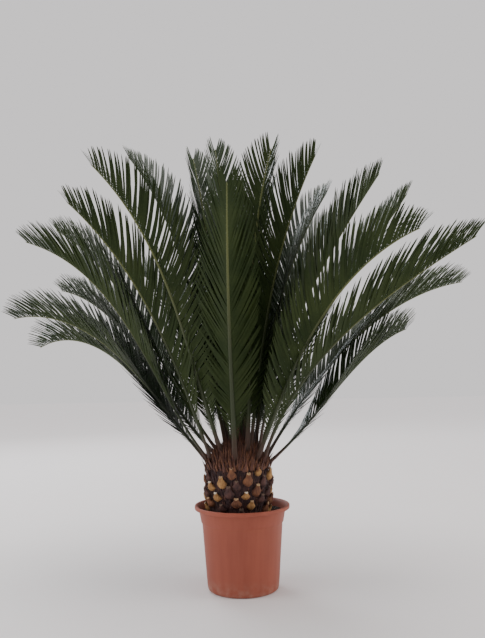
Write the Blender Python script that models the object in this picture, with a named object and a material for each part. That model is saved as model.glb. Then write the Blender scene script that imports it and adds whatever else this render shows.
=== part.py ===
# Sago palm in a plastic nursery pot: a cycad with a squat barrel trunk and a crown of
# feather fronds. Metres, +Z up, the origin at the middle of the pot's flat underside.
# +X is the plant's right as it is usually seen, and -Y its front.

import math
from collections import namedtuple

import bmesh
import bpy
import numpy as np
from mathutils.bvhtree import BVHTree

# Pot
POT_HEIGHT = 0.205
POT_FOOT_RADIUS = 0.083
POT_HEEL_RADIUS = 0.0895
POT_HEEL_HEIGHT = 0.015
POT_WAIST_RADIUS = 0.1005
POT_WAIST_HEIGHT = 0.161
POT_COLLAR_RADIUS = 0.103
POT_COLLAR_HEIGHT = 0.165
POT_NECK_RADIUS = 0.1085
POT_NECK_HEIGHT = 0.195
POT_MOUTH_RADIUS = 0.112
POT_LIP_RADIUS = 0.119
POT_LIP_DROP = 0.009
POT_WALL = 0.0025
POT_FLOOR = 0.003
POT_SIDES = 48

# Soil
SOIL_HEIGHT = 0.190
SOIL_EDGE_DROP = 0.003
SOIL_TOP_RADIUS = 0.090

# Trunk, whose axis stands a little to the left in the pot
STEM_X = -0.009
TRUNK_FOOT_RADIUS = 0.080
TRUNK_BELLY_RADIUS = 0.087
TRUNK_BELLY_HEIGHT = 0.262
SHOULDER_RADIUS = 0.084
SHOULDER_HEIGHT = 0.302
DOME_RISE = 0.052
DOME_POWER = 2.4
DOME_FLAT_RADIUS = 0.019
DOME_RADII = (0.072, 0.060, 0.046, 0.032)
TRUNK_SIDES = 56
SCAR_ROWS = 12
SCAR_DEPTH = 0.0045

# Bud of scale leaves in the middle of the crown
BUD_RADIUS = 0.016
BUD_HEIGHT = 0.055
BUD_SIDES = 12

# Frond rib
RIB_FOOT_WIDTH = 0.0155
RIB_STALK_WIDTH = 0.0115
RIB_TIP_WIDTH = 0.0035
RIB_DEPTH_RATIO = 0.5
STALK_FLARE = 0.030
PATH_STEPS = 60
UPWARD = np.array([0.0, 0.0, 1.0])

# Leaflets
LEAF_PAIRS = 13
FIRST_LEAF = 0.13
LAST_LEAF = 0.985
LEAF_LENGTH_FOOT = 0.045
LEAF_LENGTH_MIDDLE = 0.140
LEAF_LENGTH_TIP = 0.134
LEAF_TIP_LOSS = 0.7
LEAF_TIP_POWER = 5
LEAF_ANGLE_FOOT = 48
LEAF_ANGLE_MIDDLE = 40
LEAF_ANGLE_TIP = 22
LEAF_FOLD_FOOT = -8
LEAF_FOLD_MIDDLE = 38
LEAF_FOLD_TIP = 34
LEAF_LIFT = 0.6
LEAF_LIFT_POWER = 3
LEAF_WIDTH_FOOT = 0.017
LEAF_WIDTH_TIP = 0.010
LEAF_THICKNESS = 0.0016
LEAF_WIDEST_AT = 0.55
LEAF_FORWARD = 0.20
LEAF_DROOP = 0.05
LEAF_REACHES = (1.0, 0.88, 0.76, 0.64, 0.52, 0.40)

# Clearances
SEAT_GAP = 0.0003
RIB_SEAT_GAP = 0.0006
LEAF_CLEARANCE = 0.0005

# Each frond: the compass direction that it leaves in (0 is +X, 90 is the back), the
# radius of its seat on the dome, its slope over the ground at its foot, middle and tip,
# its length, how far it swings sideways, how far its blade is turned about its rib, and
# how many degrees its leaflets stand further open than the plant's mean.
Frond = namedtuple("Frond", "azimuth seat foot middle tip length swing twist open")
FRONDS = (
    Frond(168, 0.077, 46, 43, -10, 0.70, 0, 0, -3),
    Frond(154, 0.077, 35, 39, -24, 0.69, 0, 0, -2),
    Frond(142, 0.068, 34, 48, 12, 0.75, 12, 0, -2),
    Frond(184, 0.072, 51, 59, 16, 0.735, 0, 0, 0),
    Frond(204, 0.070, 69, 63, 40, 0.72, 0, 15, 2),
    Frond(164, 0.052, 51, 58, 30, 0.77, 0, 0, 3),
    Frond(224, 0.052, 64, 66, 34, 0.76, 0, 0, 9),
    Frond(147, 0.034, 76, 71, 48, 0.89, 0, 0, 4),
    Frond(121, 0.052, 80, 80, 67, 0.84, 0, 0, 3),
    Frond(-95, 0.070, 78, 60, 61, 0.675, 8, 0, -2),
    Frond(110, 0.032, 84, 84, 71, 0.825, 0, 0, 2),
    Frond(87, 0.042, 82, 80, 67, 0.735, 0, 0, 0),
    Frond(56, 0.030, 84, 80, 61, 0.73, 0, 0, 0),
    Frond(-62, 0.050, 82, 83, 57, 0.74, 0, 0, 6),
    Frond(-33, 0.038, 82, 76, 59, 0.74, 0, 0, 4),
    Frond(30, 0.052, 84, 71, 54, 0.75, 0, 0, 2),
    Frond(-19, 0.054, 81, 63, 54, 0.75, 0, 15, 10),
    Frond(10, 0.054, 72, 55, 55, 0.80, 0, 0, 2),
    Frond(-48, 0.070, 60, 50, 12, 0.712, 0, 0, 3),
    Frond(-33, 0.074, 70, 40, 27, 0.745, 0, 10, 0),
    Frond(20, 0.074, 56, 39, 9, 0.81, 0, 0, -2),
    Frond(4, 0.079, 38, 45, 16, 0.54, 28, 0, -2),
    Frond(62, 0.074, 62, 52, 24, 0.755, 0, 0, 3),
    Frond(83, 0.074, 64, 52, 18, 0.775, 0, 0, 3),
    Frond(104, 0.074, 56, 44, 8, 0.78, 0, 0, 0),
    Frond(126, 0.072, 62, 52, 18, 0.78, 0, 0, 0),
    Frond(46, 0.056, 72, 62, 38, 0.78, 0, 0, 0),
    Frond(96, 0.060, 74, 64, 36, 0.80, 0, 0, 0),
)


def clear_scene():
    for thing in list(bpy.data.objects):
        bpy.data.objects.remove(thing, do_unlink=True)


def finish_material(name, colour, roughness):
    """A plain Principled finish, with nothing metallic about it."""
    material = bpy.data.materials.new(name)
    material.use_nodes = True
    shader = material.node_tree.nodes["Principled BSDF"]
    shader.inputs["Base Color"].default_value = (*colour, 1.0)
    shader.inputs["Roughness"].default_value = roughness
    shader.inputs["Metallic"].default_value = 0.0
    return material


def add_object(name, points, faces, material, smooth_angle=None):
    """One closed body from points and faces, its faces turned outwards."""
    mesh = bpy.data.meshes.new(name)
    mesh.from_pydata([tuple(map(float, p)) for p in points], [], faces)
    work = bmesh.new()
    work.from_mesh(mesh)
    bmesh.ops.triangulate(work, faces=work.faces)
    bmesh.ops.recalc_face_normals(work, faces=work.faces)
    work.to_mesh(mesh)
    work.free()
    if smooth_angle is not None:
        mesh.shade_smooth()
        mesh.set_sharp_from_angle(angle=math.radians(smooth_angle))
    mesh.materials.append(material)
    item = bpy.data.objects.new(name, mesh)
    bpy.context.scene.collection.objects.link(item)
    return item


def ring_angles(sides):
    return np.arange(sides) * 2 * math.pi / sides


def turned_body(profile, sides, axis=0.0):
    """Points and faces of a profile of (radius, height) turned about an upright axis.

    The profile starts and ends on the axis, where each end is one point.
    """
    angles = ring_angles(sides)
    points = [(axis, 0, profile[0][1])]
    for radius, height in profile[1:-1]:
        points += [(axis + radius * math.cos(a), radius * math.sin(a), height) for a in angles]
    points.append((axis, 0, profile[-1][1]))
    rings = len(profile) - 2
    last = len(points) - 1
    faces = []
    for j in range(sides):
        k = (j + 1) % sides
        faces.append((0, 1 + k, 1 + j))
        for ring in range(rings - 1):
            low = 1 + ring * sides
            high = low + sides
            faces.append((low + j, low + k, high + k, high + j))
        top = 1 + (rings - 1) * sides
        faces.append((top + j, top + k, last))
    return points, faces


def pot_inside():
    """The inner wall as (radius, height) points, from the floor up to the rim."""
    return (
        (POT_FOOT_RADIUS - POT_WALL, POT_FLOOR),
        (POT_HEEL_RADIUS - POT_WALL, POT_HEEL_HEIGHT),
        (POT_WAIST_RADIUS - POT_WALL, POT_WAIST_HEIGHT),
        (POT_COLLAR_RADIUS - POT_WALL, POT_COLLAR_HEIGHT),
        (POT_NECK_RADIUS - POT_WALL, POT_NECK_HEIGHT),
        (POT_MOUTH_RADIUS, POT_HEIGHT),
    )


def make_pot():
    """A tapered pot with a rounded heel, a stepped collar and a lip that flares out."""
    outside = [
        (0, 0),
        (POT_FOOT_RADIUS, 0),
        (POT_HEEL_RADIUS - POT_WALL, POT_HEEL_HEIGHT / 3),
        (POT_HEEL_RADIUS, POT_HEEL_HEIGHT),
        (POT_WAIST_RADIUS, POT_WAIST_HEIGHT),
        (POT_COLLAR_RADIUS, POT_COLLAR_HEIGHT),
        (POT_NECK_RADIUS, POT_NECK_HEIGHT),
        (POT_LIP_RADIUS - POT_WALL, POT_HEIGHT - POT_LIP_DROP),
        (POT_LIP_RADIUS, POT_HEIGHT - POT_LIP_DROP / 2),
        (POT_LIP_RADIUS - POT_WALL / 2, POT_HEIGHT),
    ]
    profile = outside + list(reversed(pot_inside())) + [(0, POT_FLOOR)]
    points, faces = turned_body(profile, POT_SIDES)
    terracotta = finish_material("terracotta_plastic", (0.46, 0.17, 0.09), 0.6)
    return add_object("pot", points, faces, terracotta, 40)


def make_root_ball():
    """Potting soil that fills the pot to a little under its rim."""
    radii, heights = zip(*pot_inside())
    edge_height = SOIL_HEIGHT - SOIL_EDGE_DROP
    profile = [(0, POT_FLOOR + SEAT_GAP), (radii[0] - SEAT_GAP, POT_FLOOR + SEAT_GAP)]
    profile += [(r - SEAT_GAP, h) for r, h in zip(radii[1:-2], heights[1:-2])]
    edge_radius = float(np.interp(edge_height, heights, radii)) - SEAT_GAP
    profile += [(edge_radius, edge_height), (SOIL_TOP_RADIUS, SOIL_HEIGHT), (0, SOIL_HEIGHT)]
    points, faces = turned_body(profile, POT_SIDES)
    soil = finish_material("potting_soil", (0.035, 0.024, 0.018), 0.95)
    return add_object("root_ball", points, faces, soil, 40)


def dome_height(radius):
    """Height of the trunk's domed top: it falls off with a power of the radius."""
    top = SHOULDER_HEIGHT + DOME_RISE
    return top - DOME_RISE * (radius / SHOULDER_RADIUS) ** DOME_POWER


def trunk_radius(height):
    """Radius of the barrel: a parabola through its foot, belly and shoulder."""
    heights = (SOIL_HEIGHT, TRUNK_BELLY_HEIGHT, SHOULDER_HEIGHT)
    radii = (TRUNK_FOOT_RADIUS, TRUNK_BELLY_RADIUS, SHOULDER_RADIUS)
    return float(np.polyval(np.polyfit(heights, radii, 2), height))


def trunk_mesh():
    """The barrel with its lattice of leaf scars, and the dome that the fronds stand on.

    Every second point of the barrel's grid stands out, in rows set half a step apart,
    and each becomes the peak of a diamond, because the quads are split along the points
    that stay in.
    """
    angles = ring_angles(TRUNK_SIDES)
    base = SOIL_HEIGHT + SEAT_GAP
    heights = np.linspace(base, SHOULDER_HEIGHT, SCAR_ROWS + 1)
    rings = []
    for row, height in enumerate(heights):
        swell = 0 if row in (0, SCAR_ROWS) else SCAR_DEPTH
        out = ((np.arange(TRUNK_SIDES) + row) % 2 == 0) * swell
        rings.append((trunk_radius(height) - SCAR_DEPTH / 2 + out, height))
    rings[-1] = (np.full(TRUNK_SIDES, SHOULDER_RADIUS), SHOULDER_HEIGHT)
    for radius in (*DOME_RADII, DOME_FLAT_RADIUS):
        rings.append((np.full(TRUNK_SIDES, radius), dome_height(radius)))
    points = [(STEM_X, 0, base)]
    for radii, height in rings:
        points += [(STEM_X + r * math.cos(a), r * math.sin(a), height)
                   for r, a in zip(radii, angles)]
    points.append((STEM_X, 0, rings[-1][1]))
    last = len(points) - 1
    faces = []
    for j in range(TRUNK_SIDES):
        k = (j + 1) % TRUNK_SIDES
        faces.append((0, 1 + k, 1 + j))
        for row in range(len(rings) - 1):
            low = 1 + row * TRUNK_SIDES
            high = low + TRUNK_SIDES
            if (j + row) % 2 == 0:
                faces += [(low + j, low + k, high + j), (low + k, high + k, high + j)]
            else:
                faces += [(low + j, low + k, high + k), (low + j, high + k, high + j)]
        top = 1 + (len(rings) - 1) * TRUNK_SIDES
        faces.append((top + j, top + k, last))
    return points, faces


def make_bud():
    """Pointed bud of woolly scale leaves on the dome's flat crown."""
    base = dome_height(DOME_FLAT_RADIUS) + SEAT_GAP
    profile = [(0, base)]
    for rise, width in ((0, 0.9), (0.3, 1.0), (0.6, 0.75), (0.85, 0.35)):
        profile.append((BUD_RADIUS * width, base + BUD_HEIGHT * rise))
    profile.append((0, base + BUD_HEIGHT))
    points, faces = turned_body(profile, BUD_SIDES, STEM_X)
    wool = finish_material("bud_wool", (0.30, 0.17, 0.08), 0.9)
    return add_object("crown_bud", points, faces, wool, 50)


def through_three(start, middle, end, s):
    """The parabola that passes through three values at s = 0, a half and 1."""
    return start * (1 - s) * (1 - 2 * s) + middle * 4 * s * (1 - s) + end * s * (2 * s - 1)


def unit(vectors):
    return vectors / np.linalg.norm(vectors, axis=-1, keepdims=True)


class Rachis:
    """The curved line of a frond's rib, with its own along, side and up directions."""

    def __init__(self, frond):
        self.length = frond.length
        s = (np.arange(PATH_STEPS) + 0.5) / PATH_STEPS
        slope = np.radians(through_three(frond.foot, frond.middle, frond.tip, s))
        heading = np.radians(frond.azimuth + frond.swing * s)
        step = frond.length / PATH_STEPS
        flat = np.cos(slope) * step
        moves = np.stack([flat * np.cos(heading), flat * np.sin(heading), np.sin(slope) * step], 1)
        start = np.radians(frond.azimuth)
        seat = np.array([STEM_X + frond.seat * math.cos(start), frond.seat * math.sin(start),
                         dome_height(frond.seat)])
        self.points = np.vstack([seat, seat + np.cumsum(moves, 0)])
        self.slopes = np.interp(np.arange(PATH_STEPS + 1), np.arange(PATH_STEPS) + 0.5, slope)
        self.headings = np.interp(np.arange(PATH_STEPS + 1), np.arange(PATH_STEPS) + 0.5, heading)
        self.twist = math.radians(frond.twist)
        self.open = frond.open

    def at(self, distance):
        """Place and directions (along, side, up) at a distance from the foot."""
        place = distance / self.length * PATH_STEPS
        index = np.arange(PATH_STEPS + 1)
        point = np.array([np.interp(place, index, self.points[:, i]) for i in range(3)])
        slope = np.interp(place, index, self.slopes)
        heading = np.interp(place, index, self.headings)
        along = np.array([math.cos(slope) * math.cos(heading),
                          math.cos(slope) * math.sin(heading), math.sin(slope)])
        side = np.array([-math.sin(heading), math.cos(heading), 0])
        up = np.cross(along, side)
        turn = self.twist * min(1, distance / self.length * 2)
        turned_side = side * math.cos(turn) + up * math.sin(turn)
        return point, along, turned_side, np.cross(along, turned_side)


def rib_width(rachis, distance):
    """Wide at the foot, quickly in to the stalk, then an even taper to the tip."""
    flare = max(0.0, 1 - distance / STALK_FLARE) ** 2
    share = distance / rachis.length
    return RIB_STALK_WIDTH + (RIB_TIP_WIDTH - RIB_STALK_WIDTH) * share + (
        RIB_FOOT_WIDTH - RIB_STALK_WIDTH) * flare


def rib_ring(rachis, distance):
    """Three corners of the rib there: left and right edges on top, and the keel."""
    point, along, side, up = rachis.at(distance)
    width = rib_width(rachis, distance)
    return [point + side * width / 2, point - side * width / 2,
            point - up * width * RIB_DEPTH_RATIO]


def leaf_stations(rachis):
    """Distances along the rib at which each pair of leaflets starts and ends."""
    middles = rachis.length * np.linspace(FIRST_LEAF, LAST_LEAF, LEAF_PAIRS)
    share = (middles / rachis.length - FIRST_LEAF) / (LAST_LEAF - FIRST_LEAF)
    widths = LEAF_WIDTH_FOOT + (LEAF_WIDTH_TIP - LEAF_WIDTH_FOOT) * share
    return list(zip(middles - widths / 2, middles + widths / 2, widths, share))


def rib_mesh(rachis, trunk_tree):
    """Rings of the rib from its seat to its tip, each seat corner just off the dome."""
    distances = [0, STALK_FLARE]
    for start, end, _, _ in leaf_stations(rachis):
        distances += [start, min(end, rachis.length * 0.995)]
    rings = [rib_ring(rachis, d) for d in distances]
    along = rachis.at(0)[1]
    seated = []
    for corner in rings[0]:
        hit = trunk_tree.ray_cast(corner + along * STALK_FLARE, -along)[0]
        seated.append(np.array(hit) + along * RIB_SEAT_GAP)
    rings[0] = seated
    point, along, _, _ = rachis.at(rachis.length)
    return rings, point + along * RIB_TIP_WIDTH


def leaf_points(rings, index, rachis, station, side_sign, reach, grow=0.0):
    """Nine points of a leaflet: its root on the rib's side, its widest part, its tip.

    It leaves the rib at an angle that closes up towards the tip, folded up from the
    frond's own plane, lifted to the light where the outer rib lies flat, and bends
    forwards and a little down. Grow pads it all round.
    """
    _, _, width, share = station
    back, front = rings[index], rings[index + 1]
    edge = 0 if side_sign > 0 else 1
    root = [back[2], front[2], front[edge], back[edge]]
    centre = np.mean(root, axis=0)
    _, along, side, up = rachis.at((station[0] + station[1]) / 2)
    open_angle = through_three(LEAF_ANGLE_FOOT, LEAF_ANGLE_MIDDLE, LEAF_ANGLE_TIP, share)
    angle = math.radians(open_angle + rachis.open)
    fold = math.radians(through_three(LEAF_FOLD_FOOT, LEAF_FOLD_MIDDLE, LEAF_FOLD_TIP, share))
    out = side * side_sign * math.cos(fold) + up * math.sin(fold)
    lift = LEAF_LIFT * share ** LEAF_LIFT_POWER * (1 - along[2] ** 2)
    aim = unit(along * math.cos(angle) + out * math.sin(angle) + UPWARD * lift)
    across = unit(along - aim * np.dot(along, aim))
    face = np.cross(aim, across)
    face = face if np.dot(face, up) > 0 else -face
    full = through_three(LEAF_LENGTH_FOOT, LEAF_LENGTH_MIDDLE, LEAF_LENGTH_TIP, share)
    length = full * (1 - LEAF_TIP_LOSS * share ** LEAF_TIP_POWER) * reach
    bend = (along * LEAF_FORWARD - UPWARD * LEAF_DROOP) * length
    middle = centre + aim * length * LEAF_WIDEST_AT + bend * LEAF_WIDEST_AT ** 2
    half_width = across * (width * 0.5 + grow)
    half_depth = face * (LEAF_THICKNESS / 2 + grow)
    widest = [middle - half_width - half_depth, middle + half_width - half_depth,
              middle + half_width + half_depth, middle - half_width + half_depth]
    tip = centre + aim * (length + 2 * grow) + bend
    if grow:
        root = [corner + unit(corner - centre) * grow for corner in root]
    return root + widest + [tip]


def leaf_faces(first):
    """Eight faces of a leaflet whose nine points start at first, open at its root."""
    root = [first + i for i in range(4)]
    widest = [first + 4 + i for i in range(4)]
    faces = []
    for i in range(4):
        j = (i + 1) % 4
        faces.append((root[i], root[j], widest[j], widest[i]))
        faces.append((widest[i], widest[j], first + 8))
    return faces


def solid_tree(points, faces):
    """Search tree of a shape, with each quad as two triangles."""
    triangles = []
    for face in faces:
        triangles += [(face[0], face[i], face[i + 1]) for i in range(1, len(face) - 1)]
    return BVHTree.FromPolygons([tuple(map(float, p)) for p in points], triangles)


def rib_faces(count):
    """Quads between the rib's rings, by segment: its top, left side and right side."""
    segments = []
    for ring in range(count - 1):
        a, b = ring * 3, ring * 3 + 3
        segments.append(((a, a + 1, b + 1, b), (a + 2, b + 2, b, a), (a + 2, b + 2, b + 1, a + 1)))
    return segments


def bare_rib_tree(rings, tip):
    """Search tree of a rib without leaflets."""
    points = [corner for ring in rings for corner in ring] + [tip]
    faces = [(0, 1, 2)]
    for segment in rib_faces(len(rings)):
        faces += list(segment)
    end = len(rings) * 3 - 3
    faces += [(end, end + 1, len(points) - 1), (end + 1, end + 2, len(points) - 1),
              (end + 2, end, len(points) - 1)]
    return solid_tree(points, faces)


def choose_leaves(rachises, ribs, others):
    """Length share of every leaflet, so that none touches another frond.

    Leaflets are tried from the fronds' tips inwards. One that would touch is shortened
    step by step, and left out if it still touches at its shortest.
    """
    rib_trees = [bare_rib_tree(rings, tip) for rings, tip in ribs]
    lows, highs, trees, owners = [], [], [], []
    chosen = {}
    for pair in reversed(range(LEAF_PAIRS)):
        for frond, rachis in enumerate(rachises):
            station = leaf_stations(rachis)[pair]
            rings = ribs[frond][0]
            ring = 2 + 2 * pair
            for sign in (1, -1):
                for reach in LEAF_REACHES:
                    grown = leaf_points(rings, ring, rachis, station, sign, reach, LEAF_CLEARANCE)
                    faces = leaf_faces(0) + [(3, 2, 1, 0)]
                    tree = solid_tree(grown, faces)
                    low, high = np.min(grown, axis=0), np.max(grown, axis=0)
                    near = []
                    if trees:
                        apart = (np.array(lows) > high).any(1) | (np.array(highs) < low).any(1)
                        near = [i for i in np.flatnonzero(~apart) if owners[i] != frond]
                    blocked = any(tree.overlap(trees[i]) for i in near)
                    blocked = blocked or any(tree.overlap(other) for other in others)
                    blocked = blocked or any(
                        tree.overlap(rib) for i, rib in enumerate(rib_trees) if i != frond)
                    if not blocked:
                        chosen[frond, pair, sign] = reach
                        plain = leaf_points(rings, ring, rachis, station, sign, reach)
                        trees.append(solid_tree(plain, faces))
                        lows.append(np.min(plain, axis=0))
                        highs.append(np.max(plain, axis=0))
                        owners.append(frond)
                        break
    return chosen


def make_frond(name, rachis, rings, tip, reaches, material):
    """One closed body: the rib, with each leaflet grown out of a quad of its side."""
    points = [corner for ring in rings for corner in ring] + [tip]
    end = len(rings) * 3 - 3
    last = len(points) - 1
    faces = [(0, 2, 1), (end, end + 1, last), (end + 1, end + 2, last), (end + 2, end, last)]
    stations = leaf_stations(rachis)
    for index, (top, left, right) in enumerate(rib_faces(len(rings))):
        faces.append(top)
        pair, odd = divmod(index - 2, 2)
        for sign, quad in ((1, left), (-1, right)):
            reach = reaches.get((pair, sign)) if index >= 2 and not odd else None
            if reach is None:
                faces.append(quad)
                continue
            shape = leaf_points(rings, index, rachis, stations[pair], sign, reach)
            first = len(points)
            points += shape[4:]
            numbers = list(quad) + [first + i for i in range(5)]
            faces += [tuple(numbers[i] for i in face) for face in leaf_faces(0)]
    return add_object(name, points, faces, material)


def main():
    clear_scene()
    make_pot()
    make_root_ball()
    trunk_points, trunk_faces = trunk_mesh()
    bark = finish_material("leaf_base_bark", (0.20, 0.11, 0.06), 0.9)
    add_object("trunk", trunk_points, trunk_faces, bark)
    make_bud()

    trunk_tree = solid_tree(trunk_points, trunk_faces)
    rachises = [Rachis(frond) for frond in FRONDS]
    ribs = [rib_mesh(rachis, trunk_tree) for rachis in rachises]
    bud = bpy.data.objects["crown_bud"].data
    bud_tree = solid_tree([v.co for v in bud.vertices], [tuple(p.vertices) for p in bud.polygons])
    chosen = choose_leaves(rachises, ribs, (trunk_tree, bud_tree))

    green = finish_material("frond_green", (0.030, 0.060, 0.022), 0.4)
    for frond, rachis in enumerate(rachises):
        reaches = {(pair, sign): r for (f, pair, sign), r in chosen.items() if f == frond}
        rings, tip = ribs[frond]
        make_frond(f"frond_{frond + 1:02d}", rachis, rings, tip, reaches, green)


main()
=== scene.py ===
# %% [markdown]
# # A sago palm in its nursery pot
# The plant is a cycad: a squat trunk armoured with the bases of old leaves, and a crown of
# stiff feather fronds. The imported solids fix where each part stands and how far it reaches,
# with a few broad leaflets a frond. This script dresses them: every frond gets its hundred
# and more narrow leaflets, the trunk its leaf bases and scales, and the pot its moulded wall.

# %% Load the frame
import math
from collections import namedtuple

import bpy
import numpy as np
from mathutils import Matrix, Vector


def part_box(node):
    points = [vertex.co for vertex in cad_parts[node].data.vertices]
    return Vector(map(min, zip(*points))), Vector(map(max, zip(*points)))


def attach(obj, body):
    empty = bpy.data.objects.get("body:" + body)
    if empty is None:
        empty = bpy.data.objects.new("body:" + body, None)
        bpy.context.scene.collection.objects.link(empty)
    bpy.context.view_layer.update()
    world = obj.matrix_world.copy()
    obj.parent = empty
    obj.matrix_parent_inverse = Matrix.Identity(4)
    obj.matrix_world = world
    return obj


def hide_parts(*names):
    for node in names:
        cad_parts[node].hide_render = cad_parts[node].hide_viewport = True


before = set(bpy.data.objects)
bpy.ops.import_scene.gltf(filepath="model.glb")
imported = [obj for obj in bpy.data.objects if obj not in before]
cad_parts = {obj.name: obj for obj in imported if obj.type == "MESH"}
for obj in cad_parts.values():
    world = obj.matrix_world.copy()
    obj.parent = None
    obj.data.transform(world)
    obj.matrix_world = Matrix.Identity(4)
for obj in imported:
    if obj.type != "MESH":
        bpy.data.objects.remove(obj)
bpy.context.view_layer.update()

# %% [markdown]
# ## Arrays into meshes
# A plant is thousands of like shapes. Copies as separate objects would be slow, and particle
# systems are lost when the model is exported, so each kind is worked out as one numpy array
# of points and one of triangles, and put into a mesh in one go.

# %% A piece from points and triangles
def add_piece(name, points, faces, materials, face_material=None):
    """A smooth-shaded mesh from (n, 3) points and (m, 3) corner numbers."""
    mesh = bpy.data.meshes.new(name)
    mesh.vertices.add(len(points))
    mesh.vertices.foreach_set("co", np.asarray(points, np.float32).ravel())
    mesh.loops.add(faces.size)
    mesh.loops.foreach_set("vertex_index", faces.astype(np.int32).ravel())
    mesh.polygons.add(len(faces))
    mesh.polygons.foreach_set("loop_start", np.arange(0, faces.size, 3, dtype=np.int32))
    for material in materials:
        mesh.materials.append(material)
    if face_material is not None:
        mesh.polygons.foreach_set("material_index", face_material.astype(np.int32))
    mesh.update(calc_edges=True)
    mesh.shade_smooth()
    piece = bpy.data.objects.new(name, mesh)
    bpy.context.scene.collection.objects.link(piece)
    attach(piece, "root")
    print(f"{name}: {len(points)} points, {len(faces)} triangles")
    return piece


def unit(vectors):
    """Each vector over its own length."""
    return vectors / np.linalg.norm(vectors, axis=-1, keepdims=True)


# %% [markdown]
# ## Turned shapes
# The pot, the soil and the trunk's core are round. Each is a profile of radius and height,
# swept about the Z axis, which is what a potter's wheel or a mould does. The profile starts
# and ends on the axis, so the skin is closed.

# %% Sweep a profile about Z
def turned_grid(profile, sides):
    """Points (radius cos a, radius sin a, height), as (rings, sides, 3), and the angles."""
    profile = np.asarray(profile, float)
    angle = np.arange(sides) * 2 * math.pi / sides
    radius = profile[:, 0, None]
    height = np.broadcast_to(profile[:, 1, None], (len(profile), sides))
    return np.stack([radius * np.cos(angle), radius * np.sin(angle), height], 2), angle


def turned_faces(rings, sides):
    """Two triangles for each cell of the grid, and a fan to a pole at each end."""
    ring, side = np.meshgrid(np.arange(rings - 1), np.arange(sides), indexing="ij")
    a = ring * sides + side
    b = ring * sides + (side + 1) % sides
    c, d = b + sides, a + sides
    walls = np.stack([np.stack([a, b, c], 2), np.stack([a, c, d], 2)], 2).reshape(-1, 3)
    j = np.arange(sides)
    k = (j + 1) % sides
    first, last = rings * sides, rings * sides + 1
    top = (rings - 1) * sides
    low_fan = np.stack([np.full(sides, first), k, j], 1)
    high_fan = np.stack([np.full(sides, last), top + j, top + k], 1)
    return np.concatenate([walls, low_fan, high_fan])


def turned_mesh(grid, low_pole, high_pole):
    """Grid points and two poles on the axis, with their triangles."""
    rings, sides = grid.shape[:2]
    poles = np.array([[0, 0, low_pole], [0, 0, high_pole]])
    return np.concatenate([grid.reshape(-1, 3), poles]), turned_faces(rings, sides)


def arc(centre, radius, start, end, count):
    """Profile points on a circle, from one angle to another in degrees."""
    angle = np.radians(np.linspace(start, end, count))
    return [(centre[0] + radius * math.cos(a), centre[1] + radius * math.sin(a)) for a in angle]


# %% [markdown]
# ## Spikes
# A leaflet, a scale, a spine and a rib are all one shape: rings of points that follow a
# centre line and shrink to a tip. One function makes any number of them at once. Each ring
# is an outline in the plane of two directions, across and face, which turn with the line.

# %% Many spikes in one array
def spike_points(centres, across, face, half_widths, outline, tips):
    """Ring point = centre + across * x * half width + face * y * half width, then the tip."""
    x = outline[None, None, :, 0, None] * half_widths[:, :, None, None]
    y = outline[None, None, :, 1, None] * half_widths[:, :, None, None]
    rings = centres[:, :, None] + across[:, :, None] * x + face[:, :, None] * y
    body = rings.reshape(len(centres), -1, 3)
    return np.concatenate([body, tips[:, None]], 1).reshape(-1, 3)


def spike_faces(count, rings, sides):
    """Triangles of closed spikes, and which side of the outline each one is on."""
    ring, side = np.meshgrid(np.arange(rings - 1), np.arange(sides), indexing="ij")
    a = ring * sides + side
    b = ring * sides + (side + 1) % sides
    walls = np.stack([np.stack([a, b, b + sides], 2), np.stack([a, b + sides, a + sides], 2)], 2)
    wall_side = np.repeat(side.ravel(), 2)
    j = np.arange(sides)
    top = (rings - 1) * sides
    point = np.stack([top + j, top + (j + 1) % sides, np.full(sides, rings * sides)], 1)
    fan = np.arange(1, sides - 1)
    root = np.stack([np.zeros_like(fan), fan + 1, fan], 1)
    one = np.concatenate([walls.reshape(-1, 3), point, root])
    one_side = np.concatenate([wall_side, j, np.zeros_like(fan)])
    first = np.arange(count)[:, None, None] * (rings * sides + 1)
    return (one[None] + first).reshape(-1, 3), np.tile(one_side, count)


def bent_spikes(roots, aim, bend, face_hint, lengths, stations):
    """Centre line = root + length * (aim * t + bend * t squared), with its directions.

    The tangent is the line's derivative. The face is the hint made square to it.
    """
    t = stations[None, :, None]
    length = lengths[:, None, None]
    centres = roots[:, None] + length * (aim[:, None] * t + bend[:, None] * t * t)
    tangent = unit(aim[:, None] + 2 * bend[:, None] * t)
    hint = np.broadcast_to(face_hint[:, None], tangent.shape)
    face = unit(hint - tangent * np.sum(hint * tangent, 2, keepdims=True))
    across = np.cross(face, tangent)
    tips = roots + lengths[:, None] * (aim + bend)
    return centres, across, face, tips


# %% [markdown]
# ## Shader maths in Python
# A finish is a small sum: a base colour, plus noise at the scale of the real mottling. Wiring
# such sums by hand is hard to read, so one class wraps a socket, and Python's own operators
# add the Math nodes. Colours go through Mix nodes, because a Math node would turn them grey.

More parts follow.
